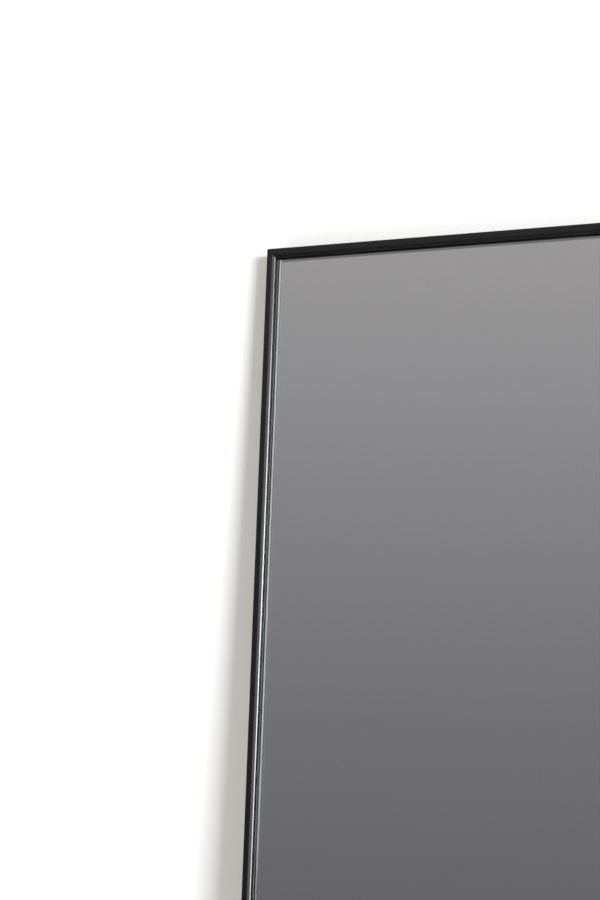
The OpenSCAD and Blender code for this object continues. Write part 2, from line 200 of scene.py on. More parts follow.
def placeCamera(setup):
    azimuth, roll = math.radians(setup["azimuth"]), math.radians(setup["roll"])
    back = towards(setup["azimuth"], setup["elevation"])
    level = Vector((math.cos(azimuth), math.sin(azimuth), 0))
    rise = back.cross(level)
    right = level * math.cos(roll) + rise * math.sin(roll)
    up = rise * math.cos(roll) - level * math.sin(roll)
    data = bpy.data.cameras.new("camera")
    data.lens = setup["lens"]
    data.clip_start, data.clip_end = setup["clip"]
    camera = bpy.data.objects.new("camera", data)
    stand = Vector(setup["aim"]) + back * setup["distance"]
    turned = Matrix((right, up, back)).transposed().to_4x4()
    camera.matrix_world = Matrix.Translation(stand * mm) @ turned
    scene.collection.objects.link(camera)
    scene.camera = camera


placeCamera(cameraSetup)
print("Camera placed")

# Stage: a floor, and a wall that the mirror's top leans on, in metres
stageSetup = {
    "lean": 4.37,  # degrees between the mirror's back and the wall
    "wallHalf": 3.0,  # half the wall's width
    "wallHeight": 3.4,
    "wallMiddle": 0.9,  # the height that the wall's fade is centred on
    "wallFade": (1.5, 2.4),  # from there, over which the wall turns to plain white
    "wallColour": (0.93, 0.93, 0.925),
    "wallSpots": 0.012,
    "wallSpotShade": 0.985,
    "floorHalf": 3.6,
    "floorFade": (1.3, 3.4),
    "floorColour": (0.86, 0.855, 0.845),
    "floorSpots": 0.4,
    "floorSpotShade": 0.98,
    "mirroredFloor": (0.238, 0.231, 0.232),  # the floor as the mirror shows it
    "mirroredFade": (1.8, 3.5),  # over which it clears and leaves the room
}
roomSetup = {
    "fill": (0.560, 0.540, 0.505),
    # What glossy surfaces show, from straight below (0) over the horizon (0.5) to straight above (1)
    "room": [(0.30, (0.075, 0.075, 0.078)), (0.46, (0.135, 0.131, 0.139)), (0.513, (0.192, 0.186, 0.204)),
             (0.560, (0.274, 0.266, 0.286)), (0.60, (0.360, 0.344, 0.350)), (0.72, (0.52, 0.52, 0.52)),
             (1.0, (0.70, 0.70, 0.70))],
}
lampSetup = {
    # The soft window light that throws the shadow on the wall
    "key": {"azimuth": 48.3, "elevation": 3.6, "size": (1.25, 0.8), "power": 330.0, "gloss": False},
    # What the paint's gloss shows: a curtained wall, the window in it, its brightest panes and its reveal
    "curtain": {"azimuth": 40.0, "elevation": 3.0, "size": (4.4, 4.0), "power": 110.0, "gloss": True},
    "window": {"azimuth": 80.0, "elevation": 1.4, "size": (3.2, 2.1), "power": 735.0, "gloss": True},
    "lowPanes": {"azimuth": 84.0, "elevation": 2.9, "size": (2.8, 0.75), "power": 150.0, "gloss": True},
    "reveal": {"azimuth": 48.0, "elevation": 7.7, "size": (0.8, 2.9), "power": 148.0, "gloss": True},
}
# What all of these lamps share
sharedLamp = {
    "colour": (0.97, 0.985, 1.0),
    "distance": 6.0,
    "aim": (-0.33, 0.0, 1.55),
}
# A soft sun that shows the back
backKeySetup = {
    "azimuth": 145.0,
    "elevation": 38.0,
    "power": 1.6,
    "softness": 30.0,
    "colour": (1.0, 0.99, 0.97),
    "distance": 3.0,
    "aim": (0, 0, 1),
}


def plane(name, corners, material):
    mesh = bpy.data.meshes.new(name)
    mesh.from_pydata(corners, [], [range(len(corners))])
    mesh.materials.append(material)
    made = bpy.data.objects.new(name, mesh)
    scene.collection.objects.link(made)
    made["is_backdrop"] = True
    return made


def transparent(tree):
    return tree.add("ShaderNodeBsdfTransparent")


def glow(tree, colour):
    return tree.add("ShaderNodeEmission", {"Color": (*colour, 1.0)})


def mattPaint(tree, spots, colour, shade):
    darker = [part * shade for part in colour]
    return tree.add("ShaderNodeBsdfDiffuse", {"Color": tree.mix(spots, colour, darker)})


def seeThroughFromBehind(tree, front):
    behind = tree.add("ShaderNodeNewGeometry").pick("Backfacing")
    return tree.blend(behind, front, transparent(tree))


def wallSurface(tree):
    setup = stageSetup
    across, _, height = tree.parts(tree.coords())
    away = (across ** 2 + (height - setup["wallMiddle"]) ** 2) ** 0.5
    spots = tree.noise(setup["wallSpots"], detail=4)
    paint = mattPaint(tree, spots, setup["wallColour"], setup["wallSpotShade"])
    faded = tree.blend(tree.between(away, *setup["wallFade"]), paint, glow(tree, (1, 1, 1)))
    return seeThroughFromBehind(tree, faded)


def floorSurface(tree):
    setup = stageSetup
    across, forward, _ = tree.parts(tree.coords())
    away = (across ** 2 + forward ** 2) ** 0.5
    spots = tree.noise(setup["floorSpots"])
    paint = mattPaint(tree, spots, setup["floorColour"], setup["floorSpotShade"])
    faded = tree.blend(tree.between(away, *setup["floorFade"]), paint, glow(tree, (1, 1, 1)))
    mirrored = tree.blend(tree.between(away, *setup["mirroredFade"]), glow(tree, setup["mirroredFloor"]),
                          transparent(tree))
    glossy = tree.add("ShaderNodeLightPath").pick("Is Glossy Ray")
    return seeThroughFromBehind(tree, tree.blend(glossy, faded, mirrored))


def buildStage():
    lean = math.tan(math.radians(stageSetup["lean"]))
    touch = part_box("wall_bumpers")[1]  # where the upper bumpers meet the wall
    wide, tall, half = stageSetup["wallHalf"], stageSetup["wallHeight"], stageSetup["floorHalf"]
    footY = touch.y + touch.z * lean
    headY = touch.y + (touch.z - tall) * lean
    wall = plane("wall", [(-wide, footY, 0), (wide, footY, 0), (wide, headY, tall), (-wide, headY, tall)],
                 newMaterial("wallPaint", wallSurface))
    # The wall only shows itself: the mirror's back is lit and reflected as if it weren't there
    wall.visible_diffuse = wall.visible_glossy = wall.visible_shadow = False
    plane("floor", [(-half, -half, 0), (half, -half, 0), (half, half, 0), (-half, half, 0)],
          newMaterial("floorPaint", floorSurface))


def buildRoom():
    world = bpy.data.worlds.new("room")
    world.use_nodes = True
    world.node_tree.nodes.clear()
    world.cycles.sampling_method = "NONE"
    scene.world = world
    tree = Tree(world.node_tree)
    path = tree.add("ShaderNodeLightPath")
    _, _, rise = tree.parts(tree.add("ShaderNodeTexCoord").pick("Generated"))
    room = tree.ramp(rise * 0.5 + 0.5, roomSetup["room"])
    lit = tree.mix(path.pick("Is Glossy Ray"), roomSetup["fill"], room)
    colour = tree.mix(path.pick("Is Camera Ray"), lit, (1, 1, 1))
    background = tree.add("ShaderNodeBackground", {"Color": colour})
    tree.add("ShaderNodeOutputWorld", {"Surface": background})


def lamp(name, kind, setup):
    direction = towards(setup["azimuth"], setup["elevation"])
    data = bpy.data.lights.new(name, kind)
    data.color = setup["colour"]
    data.energy = setup["power"]
    made = bpy.data.objects.new(name, data)
    made.location = Vector(setup["aim"]) + direction * setup["distance"]
    made.rotation_mode = "QUATERNION"
    made.rotation_quaternion = direction.to_track_quat("Z", "Y")
    scene.collection.objects.link(made)
    return made


def buildLamps():
    glossLamps = []
    for name, setup in lampSetup.items():
        soft = lamp(name, "AREA", {**sharedLamp, **setup})
        soft.data.shape = "RECTANGLE"
        soft.data.size, soft.data.size_y = setup["size"]
        soft.visible_diffuse = not setup["gloss"]
        soft.visible_glossy = setup["gloss"]
        if setup["gloss"]:
            glossLamps.append(soft)
    backKey = lamp("backKey", "SUN", backKeySetup)
    backKey.data.angle = math.radians(backKeySetup["softness"])
    return backKey, glossLamps


def linkLamps(name, lamps, receivers):
    # These lamps light the given pieces alone
    group = bpy.data.collections.new(name)
    for piece in receivers:
        group.objects.link(piece)
    for one in lamps:
        one.light_linking.receiver_collection = group


buildStage()
buildRoom()
backKey, glossLamps = buildLamps()
print("Stage and lamps ready")

# Finishes: gloss black paint with a fine orange peel
blackPaint = {
    "colour": (0.0034, 0.0034, 0.0038),
    "worn": (0.0060, 0.0060, 0.0066),
    "cloudSize": 0.09,
    "specular": 0.6,
    "roughness": 0.17,
    "cloudRoughness": 0.08,  # by which the clouds and the grit change it
    "gritRoughness": 0.05,
    "gritSize": 0.21 * mm,
    "peelSize": 0.7 * mm,
    "peelDepth": 0.006 * mm,
}


def blackPaintSurface(tree):
    look = blackPaint
    cloud = tree.noise(look["cloudSize"], detail=4)
    peel = tree.noise(look["peelSize"], detail=2, roughness=0.4)
    grit = tree.noise(look["gritSize"], detail=1)
    change = (cloud - 0.5) * look["cloudRoughness"] + (grit - 0.5) * look["gritRoughness"]
    return surface(tree, base=tree.mix(cloud, look["colour"], look["worn"]), specular=look["specular"],
                   roughness=look["roughness"] + change, normal=tree.bump(peel, look["peelDepth"]))


# The pane's clear front, its silvered back with a painted shade along its border, and its ground edges,
# sealed with black at the back
glassFinish = {
    "tint": (0.975, 0.992, 0.984),
    "ior": 1.52,
    "hazeSize": 0.16,
    "hazeShade": 0.998,
    "silver": (0.90, 0.905, 0.90),
    # Painted shade: the silvering is darkened near the pane's edge, standing in for the shade beside the
    # frame's lip
    "paintedEdgeShade": (0.43, 0.435, 0.434),
    "paintedShadeWidth": (4.6 * mm, 5.4 * mm),  # over which the painted shade along the silvering's border fades out
    "ground": (0.42, 0.43, 0.427),
    "groundDark": (0.32, 0.33, 0.327),
    "groundRoughness": 0.6,
    "groundSpecular": 0.05,
    "speckSize": 1.6 * mm,
    "grindSize": 0.25 * mm,
    "grindDepth": 0.01 * mm,
    "sealed": (0.012, 0.015, 0.014),
    "sealedFrom": (2.2 * mm, 2.9 * mm),  # behind the pane's front, over which the sealer starts
    "sealerDrift": 0.4 * mm,  # by which its line wanders
}


def clearGlassSurface(tree):
    look = glassFinish
    hazy = [part * look["hazeShade"] for part in look["tint"]]
    glass = surface(tree, base=tree.mix(tree.noise(look["hazeSize"]), look["tint"], hazy), roughness=0.0,
                    ior=look["ior"], transmission=1.0)
    lampRay = tree.add("ShaderNodeLightPath").pick("Is Shadow Ray")
    return tree.blend(lampRay, glass, transparent(tree))


def silverSurface(tree):
    look = glassFinish
    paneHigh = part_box("mirror_glass")[1]
    across, _, height = tree.parts(tree.coords())
    fromSide = paneHigh.x - tree.maths("ABSOLUTE", across)
    fromEnd = paneHigh.z - middleZ - tree.maths("ABSOLUTE", height - middleZ)
    # Painted shade: the silver's colour darkens towards the pane's edges
    clear = tree.between(tree.maths("MINIMUM", fromSide, fromEnd), *look["paintedShadeWidth"])
    return surface(tree, base=tree.mix(clear, look["paintedEdgeShade"], look["silver"]), metallic=1.0,
                   roughness=0.0)


def groundEdgeSurface(tree):
    look = glassFinish
    _, place, _ = tree.parts(tree.coords())
    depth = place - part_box("mirror_glass")[0].y
    speck = tree.noise(look["speckSize"])
    sealed = tree.between(depth + (speck - 0.5) * look["sealerDrift"], *look["sealedFrom"])
    ground = tree.mix(speck, look["ground"], look["groundDark"])
    grind = tree.noise(look["grindSize"], detail=2)
    return surface(tree, base=tree.mix(sealed, ground, look["sealed"]), roughness=look["groundRoughness"],
                   specular=look["groundSpecular"], normal=tree.bump(grind, look["grindDepth"]))


# Pressed fibres lie every way, so three stretched noises are laid over each other
fibreboard = {
    # Width of the fibres, stretch of the noise and turn in radians
    "layers": [(0.9 * mm, (1, 1, 0.12), 0), (0.9 * mm, (0.15, 1, 1), 0.6), (1.1 * mm, (0.15, 1, 1), -0.9)],
    "contrast": 1.9,
    "level": 0.45,  # taken off after it, so that the deepest fibres are plain dark
    "dark": (0.21, 0.125, 0.066),
    "light": (0.37, 0.245, 0.142),
    "mottle": (0.27, 0.168, 0.094),
    "mottleSize": 0.05,
    "mottleShare": 0.55,
    "fleck": (0.085, 0.048, 0.026),
    "fleckSize": 1.6 * mm,
    "fleckRange": (0.68, 0.76),  # of the noise, so that flecks are rare
    "fleckShare": 0.6,
    "specular": 0.3,
    "roughness": 0.62,
    "mottleRoughness": 0.16,
    "fibreDepth": 0.05 * mm,
}


def fibreboardSurface(tree):
    look = fibreboard
    layers = [tree.noise(width, coords=tree.coords(stretch, (0, turn, 0)))
              for width, stretch, turn in look["layers"]]
    weave = tree.clamp(sum(layers) / len(layers) * look["contrast"] - look["level"])
    mottle = tree.noise(look["mottleSize"], detail=5)
    flecks = tree.between(tree.noise(look["fleckSize"], detail=1), *look["fleckRange"])
    brown = tree.mix(weave, look["dark"], look["light"])
    brown = tree.mix(mottle * look["mottleShare"], brown, look["mottle"])
    return surface(tree, base=tree.mix(flecks * look["fleckShare"], brown, look["fleck"]),
                   specular=look["specular"],
                   roughness=look["roughness"] + mottle * look["mottleRoughness"],
                   normal=tree.bump(weave, look["fibreDepth"]))


# Plated steel: a faint tinge in clouds, and a fine grain
zincPlate = {"colour": (0.60, 0.61, 0.63), "tinge": (0.66, 0.64, 0.58), "roughness": 0.30}
nickelWire = {"colour": (0.66, 0.65, 0.62), "tinge": (0.58, 0.575, 0.56), "roughness": 0.22}
plating = {
    "cloudSize": 6 * mm,
    "cloudRoughness": 0.14,
    "grainSize": 0.35 * mm,
    "grainRoughness": 0.06,
    "grainDepth": 0.004 * mm,
}


def platedSurface(metal):
    def build(tree):
        cloud = tree.noise(plating["cloudSize"], detail=4)
        grain = tree.noise(plating["grainSize"], detail=2)
        change = (cloud - 0.5) * plating["cloudRoughness"] + (grain - 0.5) * plating["grainRoughness"]
        return surface(tree, base=tree.mix(cloud, metal["colour"], metal["tinge"]), metallic=1.0,
                       roughness=metal["roughness"] + change,
                       normal=tree.bump(grain, plating["grainDepth"]))
    return build


# Cast zinc, blackened steel and moulded plastic, whose colour, roughness and relief follow one grain
castZinc = {
    "dark": (0.42, 0.43, 0.44),
    "light": (0.60, 0.61, 0.62),
    "metallic": 1.0,
    "roughness": 0.42,
    "grainRoughness": 0.25,
    "grainSize": 0.8 * mm,
    "grainDetail": 4,
    "grainDepth": 0.06 * mm,
}
blackenedSteel = {
    "dark": (0.018, 0.018, 0.020),
    "light": (0.045, 0.045, 0.048),
    "metallic": 0.6,
    "roughness": 0.34,
    "grainRoughness": 0.16,
    "grainSize": 0.5 * mm,
    "grainDetail": 4,
    "grainDepth": 0.008 * mm,
}
spacerPlastic = {
    "dark": (0.020, 0.020, 0.021),
    "light": (0.038, 0.038, 0.040),
    "metallic": 0.0,
    "roughness": 0.5,
    "grainRoughness": 0.0,
    "grainSize": 0.4 * mm,
    "grainDetail": 3,
    "grainDepth": 0.02 * mm,
}


def grainySurface(look):
    def build(tree):
        grain = tree.noise(look["grainSize"], look["grainDetail"])
        return surface(tree, base=tree.mix(grain, look["dark"], look["light"]),
                       metallic=look["metallic"],
                       roughness=look["roughness"] + grain * look["grainRoughness"],
                       normal=tree.bump(grain, look["grainDepth"]))
    return build


rubber = {
    "clean": (0.017, 0.017, 0.017),
    "dusty": (0.034, 0.033, 0.032),
    "dustSize": 9 * mm,
    "specular": 0.35,
    "roughness": 0.66,
    "dustRoughness": 0.18,
    "skinSize": 0.6 * mm,
    "skinDepth": 0.03 * mm,
}


def rubberSurface(tree):
    look = rubber
    skin = tree.noise(look["skinSize"])
    dust = tree.noise(look["dustSize"], detail=4)
    return surface(tree, base=tree.mix(dust, look["clean"], look["dusty"]), specular=look["specular"],
                   roughness=look["roughness"] + dust * look["dustRoughness"],
                   normal=tree.bump(skin, look["skinDepth"]))


# The film on the silvering, woven at 45 degrees
safetyFilm = {
    "dark": (0.66, 0.69, 0.72),
    "light": (0.78, 0.80, 0.82),
    "roughness": 0.45,
    "weaveSize": 1.8 * mm,
    "weaveTurn": 45.0,
    "weaveDepth": 0.04 * mm,
}


def filmSurface(tree):
    look = safetyFilm
    across, _, height = tree.parts(tree.coords(turn=(0, math.radians(look["weaveTurn"]), 0)))
    warp, weft = (tree.maths("SINE", way * (math.tau / look["weaveSize"])) for way in (across, height))
    weave = tree.clamp(warp * weft * 0.5 + 0.5)
    return surface(tree, base=tree.mix(weave, look["dark"], look["light"]), roughness=look["roughness"],
                   normal=tree.bump(weave, look["weaveDepth"]))


foam = {
    "pits": (0.87, 0.87, 0.84),
    "walls": (0.74, 0.74, 0.71),
    "roughness": 0.85,
    "cellSize": 0.7 * mm,
    "cellDepth": 0.1 * mm,
}


def foamSurface(tree):
    look = foam
    cells = tree.add("ShaderNodeTexVoronoi", {"Vector": tree.coords(), "Scale": 1 / look["cellSize"]})
    return surface(tree, base=tree.mix(tree.clamp(cells), look["pits"], look["walls"]),
                   roughness=look["roughness"], normal=tree.bump(cells, look["cellDepth"]))


finishBuilders = {
    "blackPaint": blackPaintSurface,
    "clearGlass": clearGlassSurface,
    "silver": silverSurface,
    "groundEdge": groundEdgeSurface,
    "fibreboard": fibreboardSurface,
    "zincPlate": platedSurface(zincPlate),
    "nickelWire": platedSurface(nickelWire),
    "castZinc": grainySurface(castZinc),
    "blackenedSteel": grainySurface(blackenedSteel),
    "rubber": rubberSurface,
    "safetyFilm": filmSurface,
    "foam": foamSurface,
    "spacerPlastic": grainySurface(spacerPlastic),
}
finishes = {name: newMaterial(name, build) for name, build in finishBuilders.items()}
print("Finishes made:", len(finishes))

# Mesh helpers
meshSetup = {
    "mergeDistance": 0.002 * mm,
    "flatAngle": 0.4,  # degrees below which neighbouring faces count as one flat face
    "bevelSegments": 2,
    "smoothAngle": 30.0,
}


def newObject(name, data):
    made = bpy.data.objects.new(name, data)
    scene.collection.objects.link(made)
    return made


def evaluatedMesh(source):
    graph = bpy.context.evaluated_depsgraph_get()
    return bpy.data.meshes.new_from_object(source.evaluated_get(graph), depsgraph=graph)


def settle(piece):
    # Turns what the modifiers make into the piece's own plain mesh
    mesh = evaluatedMesh(piece)
    piece.modifiers.clear()
    piece.data = mesh


def endWork(work, mesh):
    # Puts a bmesh into a mesh, with its faces turned outwards
    bmesh.ops.recalc_face_normals(work, faces=work.faces)
    work.to_mesh(mesh)
    work.free()


def tidyMesh(mesh):
    work = bmesh.new()
    work.from_mesh(mesh)
    bmesh.ops.remove_doubles(work, verts=work.verts, dist=meshSetup["mergeDistance"])
    bmesh.ops.dissolve_limit(work, angle_limit=math.radians(meshSetup["flatAngle"]), verts=work.verts,
                             edges=work.edges)
    endWork(work, mesh)


def shadeSmooth(mesh, angle):
    for face in mesh.polygons:
        face.use_smooth = True
    mesh.set_sharp_from_angle(angle=math.radians(angle))


def softenEdges(piece, width, angle=20.0):
    bevel = piece.modifiers.new("softEdges", "BEVEL")
    bevel.width = width
    bevel.segments = meshSetup["bevelSegments"]
    bevel.limit_method = "ANGLE"
    bevel.angle_limit = math.radians(angle)
    bevel.miter_outer = "MITER_ARC"
    settle(piece)
    shadeSmooth(piece.data, meshSetup["smoothAngle"])
    piece.modifiers.new("flatFaces", "WEIGHTED_NORMAL").keep_sharp = True
    settle(piece)


def arcPoints(middle, radius, start, end, steps):
    angles = [math.radians(start + (end - start) * i / steps) for i in range(steps + 1)]
    return [(middle[0] + radius * math.cos(a), middle[1] + radius * math.sin(a)) for a in angles]


def roundedLoop(halfWide, halfTall, radius, steps):
    points = []
    for sx, sz, start in ((1, 1, 0), (-1, 1, 90), (-1, -1, 180), (1, -1, 270)):
        middle = (sx * (halfWide - radius), sz * (halfTall - radius))
        points += arcPoints(middle, radius, start, start + 90, steps)
    return points


def skinned(name, rings, tip=None):
    # Joins each ring of points to the next, and closes both ends or draws the last ring to a tip
    work = bmesh.new()
    rows = [[work.verts.new(place) for place in ring] for ring in rings]
    for first, second in zip(rows, rows[1:]):
        for i in range(len(first)):
            j = (i + 1) % len(first)
            work.faces.new((first[i], first[j], second[j], second[i]))
    work.faces.new(rows[0])
    if tip:
        end = work.verts.new(tip)
        for i, vertex in enumerate(rows[-1]):
            work.faces.new((vertex, rows[-1][i - 1], end))
    else:
        work.faces.new(rows[-1])
    mesh = bpy.data.meshes.new(name)
    endWork(work, mesh)
    return newObject(name, mesh)


def turned(name, profile, steps):
    # A profile of (radius, height) points in mm, turned round Z
    angles = [math.tau * i / steps for i in range(steps)]
    rings = []
    for radius, height in profile:
        rings.append([(radius * mm * math.cos(a), radius * mm * math.sin(a), height * mm) for a in angles])
    return skinned(name, rings)


def closedSpline(curve, points):
    spline = curve.splines.new("POLY")
    spline.points.add(len(points) - 1)
    for point, (x, y, z) in zip(spline.points, points):
        point.co = (x * mm, y * mm, z * mm, 1)
    spline.use_cyclic_u = True


def geometryTree(name, inputs):
    group = bpy.data.node_groups.new(name, "GeometryNodeTree")
    for label, kind in {"Geometry": "Geometry", **inputs}.items():
        group.interface.new_socket(label, in_out="INPUT", socket_type="NodeSocket" + kind)
    group.interface.new_socket("Geometry", in_out="OUTPUT", socket_type="NodeSocketGeometry")
    tree = Tree(group)
    return tree, tree.add("NodeGroupInput")


def grown(name, source, group, values):
    # Runs a tree on a curve or mesh, and keeps what it makes as a plain mesh
    seed = newObject(name + "Source", source)
    modifier = seed.modifiers.new(group.name, "NODES")
    modifier.node_group = group
    for item in group.interface.items_tree:
        if item.in_out == "INPUT" and item.name in values:
            modifier[item.identifier] = values[item.name]
    mesh = evaluatedMesh(seed)
    bpy.data.objects.remove(seed)
    return newObject(name, mesh)


def finishTree(tree, made, finish):
    whole = tree.add("GeometryNodeRealizeInstances", {"Geometry": made})
    done = tree.add("GeometryNodeSetMaterial", {"Geometry": whole, "Material": finish})
    tree.add("NodeGroupOutput", {"Geometry": done})
    return tree.nodeTree


def shaped(piece, cutter, operation="DIFFERENCE"):
    cut = piece.modifiers.new("cut", "BOOLEAN")
    cut.operation = operation
    cut.object = cutter
    cut.solver = "EXACT"
    settle(piece)


def finishPiece(piece, body, nodes, finish=None):
    if finish:
        piece.data.materials.clear()
        piece.data.materials.append(finishes[finish])
    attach(piece, body)
    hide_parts(*nodes)
    return piece


# Screws: one turned head with a cross recess for each kind, set on its points with a random turn
panelScrews = {
    "head": 6.8,
    "headHeight": 2.2,
    "thread": 3.5,
    "length": 5.5,
    "recess": 3.7,
    "recessDepth": 1.25,
    "inset": 75.0,  # from the corners to the first screw
    "uprightCount": 6,
    "railCount": 3,
    "flangeShare": 0.55,  # place across the flange
    "seed": 3,
}
hangerScrews = {
    "head": 7.0,
    "headHeight": 1.9,
    "thread": 3.5,
    "length": 7.4,
    "recess": 3.8,
    "recessDepth": 1.15,
    "drops": (7.2, 15.4),  # below the pivot
    "seed": 5,
}
cornerScrews = {
    "head": 4.8,
    "thread": 2.5,
    "length": 10.0,
    "recess": 2.7,
    "recessDepth": 1.1,
    "inset": 28.0,  # from each outer corner
    "sunk": 0.05,  # how far the head lies below the face
    "seatPlay": 0.08,  # round the head
    "seatNeckPlay": 0.05,
    "seatDepth": 1.2,  # of the bore below the cone
    "seatAbove": 0.6,  # by which the cutter stands out of the face
    "seed": 8,
}
screwForm = {
    "pitch": 0.9,
    "ridge": 0.16,  # of the thread, over its core
    "ridgeEnd": 0.98,  # of the pitch, so that no two points meet
    "pointRadius": 0.35,
    "pointLength": 0.9,
    "pointStep": 0.2,  # by which the point stays inside the core
    "threadStart": 1.2,  # from the tip
    "neck": 0.3,  # plain length below the head
    "rimEdge": 0.12,
    "crownShare": 0.45,  # of a pan head's height
    "crownStart": 15,  # degrees above the level where the dome begins
    "crownSteps": 5,
    "sunkNeck": 0.05,
    "sunkRim": (0.1, 0.06),  # inside the head's full width, below and at the face
    "steps": 36,
    "seatSteps": 40,
    "smoothAngle": 32,
}
# The cross's reach and its arms' width, as shares of the recess's, at three heights
recessForm = {
    "above": 0.4,  # the height of the first over the head's top
    "mouth": (1.0, 0.30),
    "rings": [(0, 0.96, 0.28), (0.8, 0.46, 0.20)],  # each after its share of the recess's depth
}
headToRear = Matrix.Rotation(math.radians(-90), 4, "X")  # a screw is made with its head up


def spunCopiesTree():
    # A copy of one shape on every point, each turned round Y by its own random angle
    tree, given = geometryTree("spunCopies", {"Shape": "Object", "Seed": "Int", "Finish": "Material"})
    shape = tree.add("GeometryNodeObjectInfo", {"Object": given.pick("Shape")}).pick("Geometry")
    angle = tree.add("FunctionNodeRandomValue", {"Max": math.tau, "Seed": given.pick("Seed")},
                     data_type="FLOAT").pick("Value")
    turn = tree.add("ShaderNodeCombineXYZ", {"Y": angle})
    copies = tree.add("GeometryNodeInstanceOnPoints", {
        "Points": given, "Instance": shape, "Rotation": turn})
    return finishTree(tree, copies, given.pick("Finish"))


def crossRecess(width, depth, headTop):
    # A tapering cross with a pointed end, as a driver leaves it
    lower = [(-depth * share, reach, arm) for share, reach, arm in recessForm["rings"]]
    rings = []
    for height, reach, arm in [(recessForm["above"], *recessForm["mouth"]), *lower]:
        end, side = width / 2 * reach, width / 2 * arm
        outline = [(end, -side), (end, side), (side, side), (side, end), (-side, end), (-side, side),
                   (-end, side), (-end, -side), (-side, -side), (-side, -end), (side, -end), (side, -side)]
        rings.append([(x * mm, y * mm, (headTop + height) * mm) for x, y in outline])
    return skinned("crossRecess", rings, tip=(0, 0, (headTop - depth) * mm))


def shank(sizes, top):
    # Pointed end and a thread of rounded ridges, up to the height top
    pitch, ridge = screwForm["pitch"], screwForm["ridge"]
    core = sizes["thread"] / 2 - ridge
    points = [(screwForm["pointRadius"], -sizes["length"]),
              (core - screwForm["pointStep"], -sizes["length"] + screwForm["pointLength"])]
    height = -sizes["length"] + screwForm["threadStart"]
    while height + pitch < top - screwForm["neck"]:
        points += [(core, height), (core + ridge, height + pitch / 2),
                   (core, height + pitch * screwForm["ridgeEnd"])]
        height += pitch
    return points


def panHead(sizes):
    rim, edge = sizes["head"] / 2, screwForm["rimEdge"]
    crown = sizes["headHeight"] * screwForm["crownShare"]
    head = [(sizes["thread"] / 2, 0), (rim - edge, 0), (rim, edge), (rim, sizes["headHeight"] - crown)]
    dome = arcPoints((rim - crown, sizes["headHeight"] - crown), crown, screwForm["crownStart"], 90,
                     screwForm["crownSteps"])
    return shank(sizes, 0) + head + dome, sizes["headHeight"]


def countersunkHead(sizes):
    rim, depth = sizes["head"] / 2, (sizes["head"] - sizes["thread"]) / 2
    below, level = screwForm["sunkRim"]
    head = [(sizes["thread"] / 2, -depth - screwForm["sunkNeck"]), (rim - below, -screwForm["rimEdge"]),
            (rim - level, 0)]
    return shank(sizes, -depth) + head, 0


def screwShape(sizes, profile, top):
    screw = turned("screw", profile, screwForm["steps"])
    cutter = crossRecess(sizes["recess"], sizes["recessDepth"], top)
    shaped(screw, cutter)
    bpy.data.objects.remove(cutter)
    tidyMesh(screw.data)
    screw.data.transform(headToRear)
    shadeSmooth(screw.data, screwForm["smoothAngle"])
    return screw


def placeScrews(name, node, finish, sizes, head, places):
    shape = screwShape(sizes, *head)
    points = bpy.data.meshes.new(name)
    points.from_pydata(places, [], [])
    piece = grown(name, points, spunCopies, {
        "Shape": shape, "Seed": sizes["seed"], "Finish": finishes[finish]})
    bpy.data.objects.remove(shape)
    finishPiece(piece, "mirror", [node], finish)


# The frame: one extruded section, mitred at both ends, on four sides
framePiece = {
    "rim": 5.8,  # flat outer rim
    "slope": 1.8,  # width of the sloped band inside it
    "slopeDrop": 0.9,
    "noseRadius": 2.0,
    "noseSteps": 14,
    "lipDraft": 9.0,  # degrees by which the lip's inner wall is undercut
    "lipOverlap": 1.7,  # over the pane, from the nose
    "glassGap": 0.6,
    "glassRecess": 5.4,  # depth of the pane behind the front face
    "edgeRadius": 0.6,
    "edgeSteps": 6,
    "sideWall": 1.3,
    "rearWall": 1.8,
    "chamberFront": 4.6,
    "flangeWidth": 18.2,
    "flangeFront": 15.8,  # depth of the flange behind the front face
    "flangeThickness": 1.6,
    "softEdge": 0.14 * mm,
    "cornerRadius": 1.5 * mm,  # the mitred corners are filed round
    "cornerSteps": 8,
    "cornerClearance": 0.01 * mm,  # by which the filing leaves the outer faces alone
}


def sectionSizes(sizes):
    slopeAngle = math.degrees(math.atan2(sizes["slopeDrop"], sizes["slope"]))
    wall = sizes["rim"] + sizes["slope"] + sizes["noseRadius"] * (1 - math.sin(math.radians(slopeAngle)))
    noseDepth = sizes["slopeDrop"] + sizes["noseRadius"] * math.cos(math.radians(slopeAngle))
    return slopeAngle, wall, (wall - sizes["noseRadius"], noseDepth)


slopeAngle, innerWall, noseMiddle = sectionSizes(framePiece)
frameDepth = (rearY - frontY) / mm
rebate = innerWall - framePiece["lipOverlap"] - framePiece["glassGap"]
spine = rebate / 2  # the middle of the chamber, where the corner screws sit
flangeBack = framePiece["flangeFront"] + framePiece["flangeThickness"]
flangeEnd = rebate + framePiece["flangeWidth"]
flangeFace = frontY + flangeBack * mm


